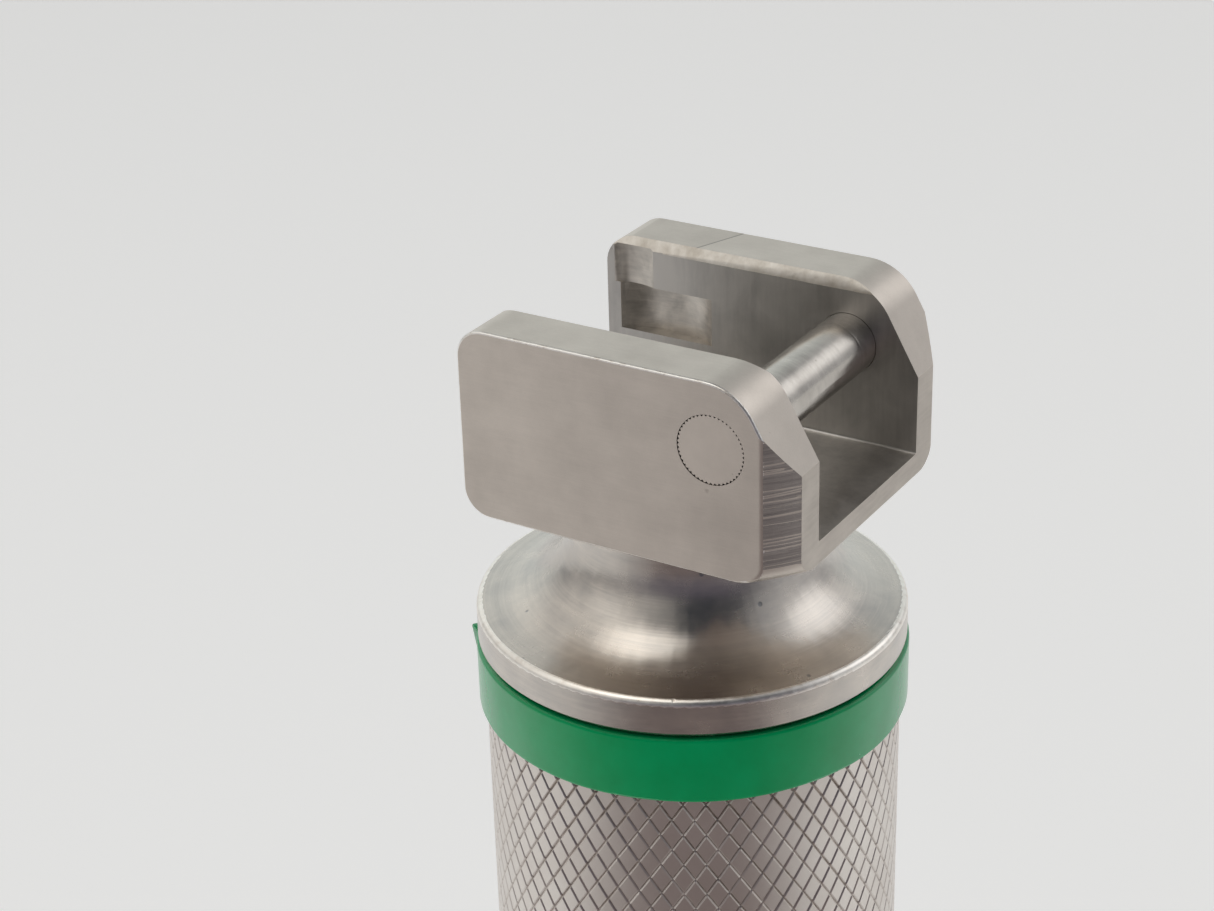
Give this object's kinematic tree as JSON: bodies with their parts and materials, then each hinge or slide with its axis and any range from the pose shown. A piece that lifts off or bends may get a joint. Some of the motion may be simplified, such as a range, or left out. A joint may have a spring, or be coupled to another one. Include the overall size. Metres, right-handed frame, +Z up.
{
  "type": "laryngoscope handle",
  "caption": "Upright battery handle for a laryngoscope: knurled steel tube, green ring, forked steel head with a cross pin for a hook-on blade, spring-loaded lamp plunger and screwed base cap.",
  "frame": {"origin": "centre of the base cap's underside, on the handle's axis", "axes": "+Z up along the handle, +X towards the hinge pin that the blade hooks on, +Y along the pin"},
  "size_m": [0.029, 0.029, 0.1505],
  "materials": {
    "satin_steel": "satin",
    "knurled_steel": "satin",
    "pin_steel": "satin",
    "polished_steel": "polished",
    "cap_steel": "satin",
    "spring_steel": "satin",
    "tungsten": "satin",
    "solder": "satin",
    "nickel_plate": "satin",
    "brass": "satin",
    "green_plastic": "satin",
    "white_acetal": "matte",
    "black_insulator": "matte",
    "cell_jacket": "gloss",
    "cell_filling": "matte",
    "window_glass": "gloss",
    "bulb_glass": "gloss",
    "seal_rubber": "matte"
  },
  "bodies": {
    "handle": {"handle_tube": "knurled_steel", "colour_ring": "green_plastic", "lower_cell_can": "nickel_plate", "lower_cell_core": "cell_filling", "lower_cell_jacket": "cell_jacket", "lower_cell_washer": "black_insulator", "lower_cell_positive": "nickel_plate", "lower_cell_negative": "nickel_plate", "upper_cell_can": "nickel_plate", "upper_cell_core": "cell_filling", "upper_cell_jacket": "cell_jacket", "upper_cell_washer": "black_insulator", "upper_cell_positive": "nickel_plate", "upper_cell_negative": "nickel_plate"},
    "head_thread": {"head_seal": "seal_rubber"},
    "head": {"hook_on_head": "satin_steel", "hinge_pin": "pin_steel", "guide_bush": "brass", "cartridge_sleeve": "white_acetal", "sleeve_nut": "brass"},
    "lamp": {"lamp_plunger": "polished_steel", "light_window": "window_glass", "lamp_base": "brass", "lamp_bulb": "bulb_glass", "lamp_filament": "tungsten", "lamp_insulator": "black_insulator", "lamp_tip": "solder", "contact_stem": "brass", "return_spring": "spring_steel"},
    "cap_thread": {"spring_plate": "nickel_plate", "battery_spring": "spring_steel"},
    "base_cap": {"end_cap": "cap_steel", "cap_seal": "seal_rubber"}
  },
  "joints": [
    {"name": "head_travel", "type": "slide", "parent": "handle", "child": "head_thread", "axis": [0, 0, 1], "range_m": [0, 0.005]},
    {"name": "head_screw", "type": "hinge", "parent": "head_thread", "child": "head", "pos_m": [0, 0, 0.1267], "axis": [0, 0, 1], "range_deg": [0, 1440]},
    {"name": "lamp_press", "type": "slide", "parent": "head", "child": "lamp", "axis": [0, 0, -1], "range_m": [0, 0.0012], "stiffness_N_per_m": 600, "springref_m": -0.0015, "deforming": ["return_spring"]},
    {"name": "cap_travel", "type": "slide", "parent": "handle", "child": "cap_thread", "axis": [0, 0, -1], "range_m": [0, 0.005], "deforming": ["battery_spring"]},
    {"name": "cap_screw", "type": "hinge", "parent": "cap_thread", "child": "base_cap", "pos_m": [0, 0, 0.005], "axis": [0, 0, -1], "range_deg": [0, 1440]}
  ],
  "couplings": [
    {"joint": "head_screw", "follows": "head_travel", "rad_per_m": 5026.5},
    {"joint": "cap_screw", "follows": "cap_travel", "rad_per_m": 5026.5}
  ]
}
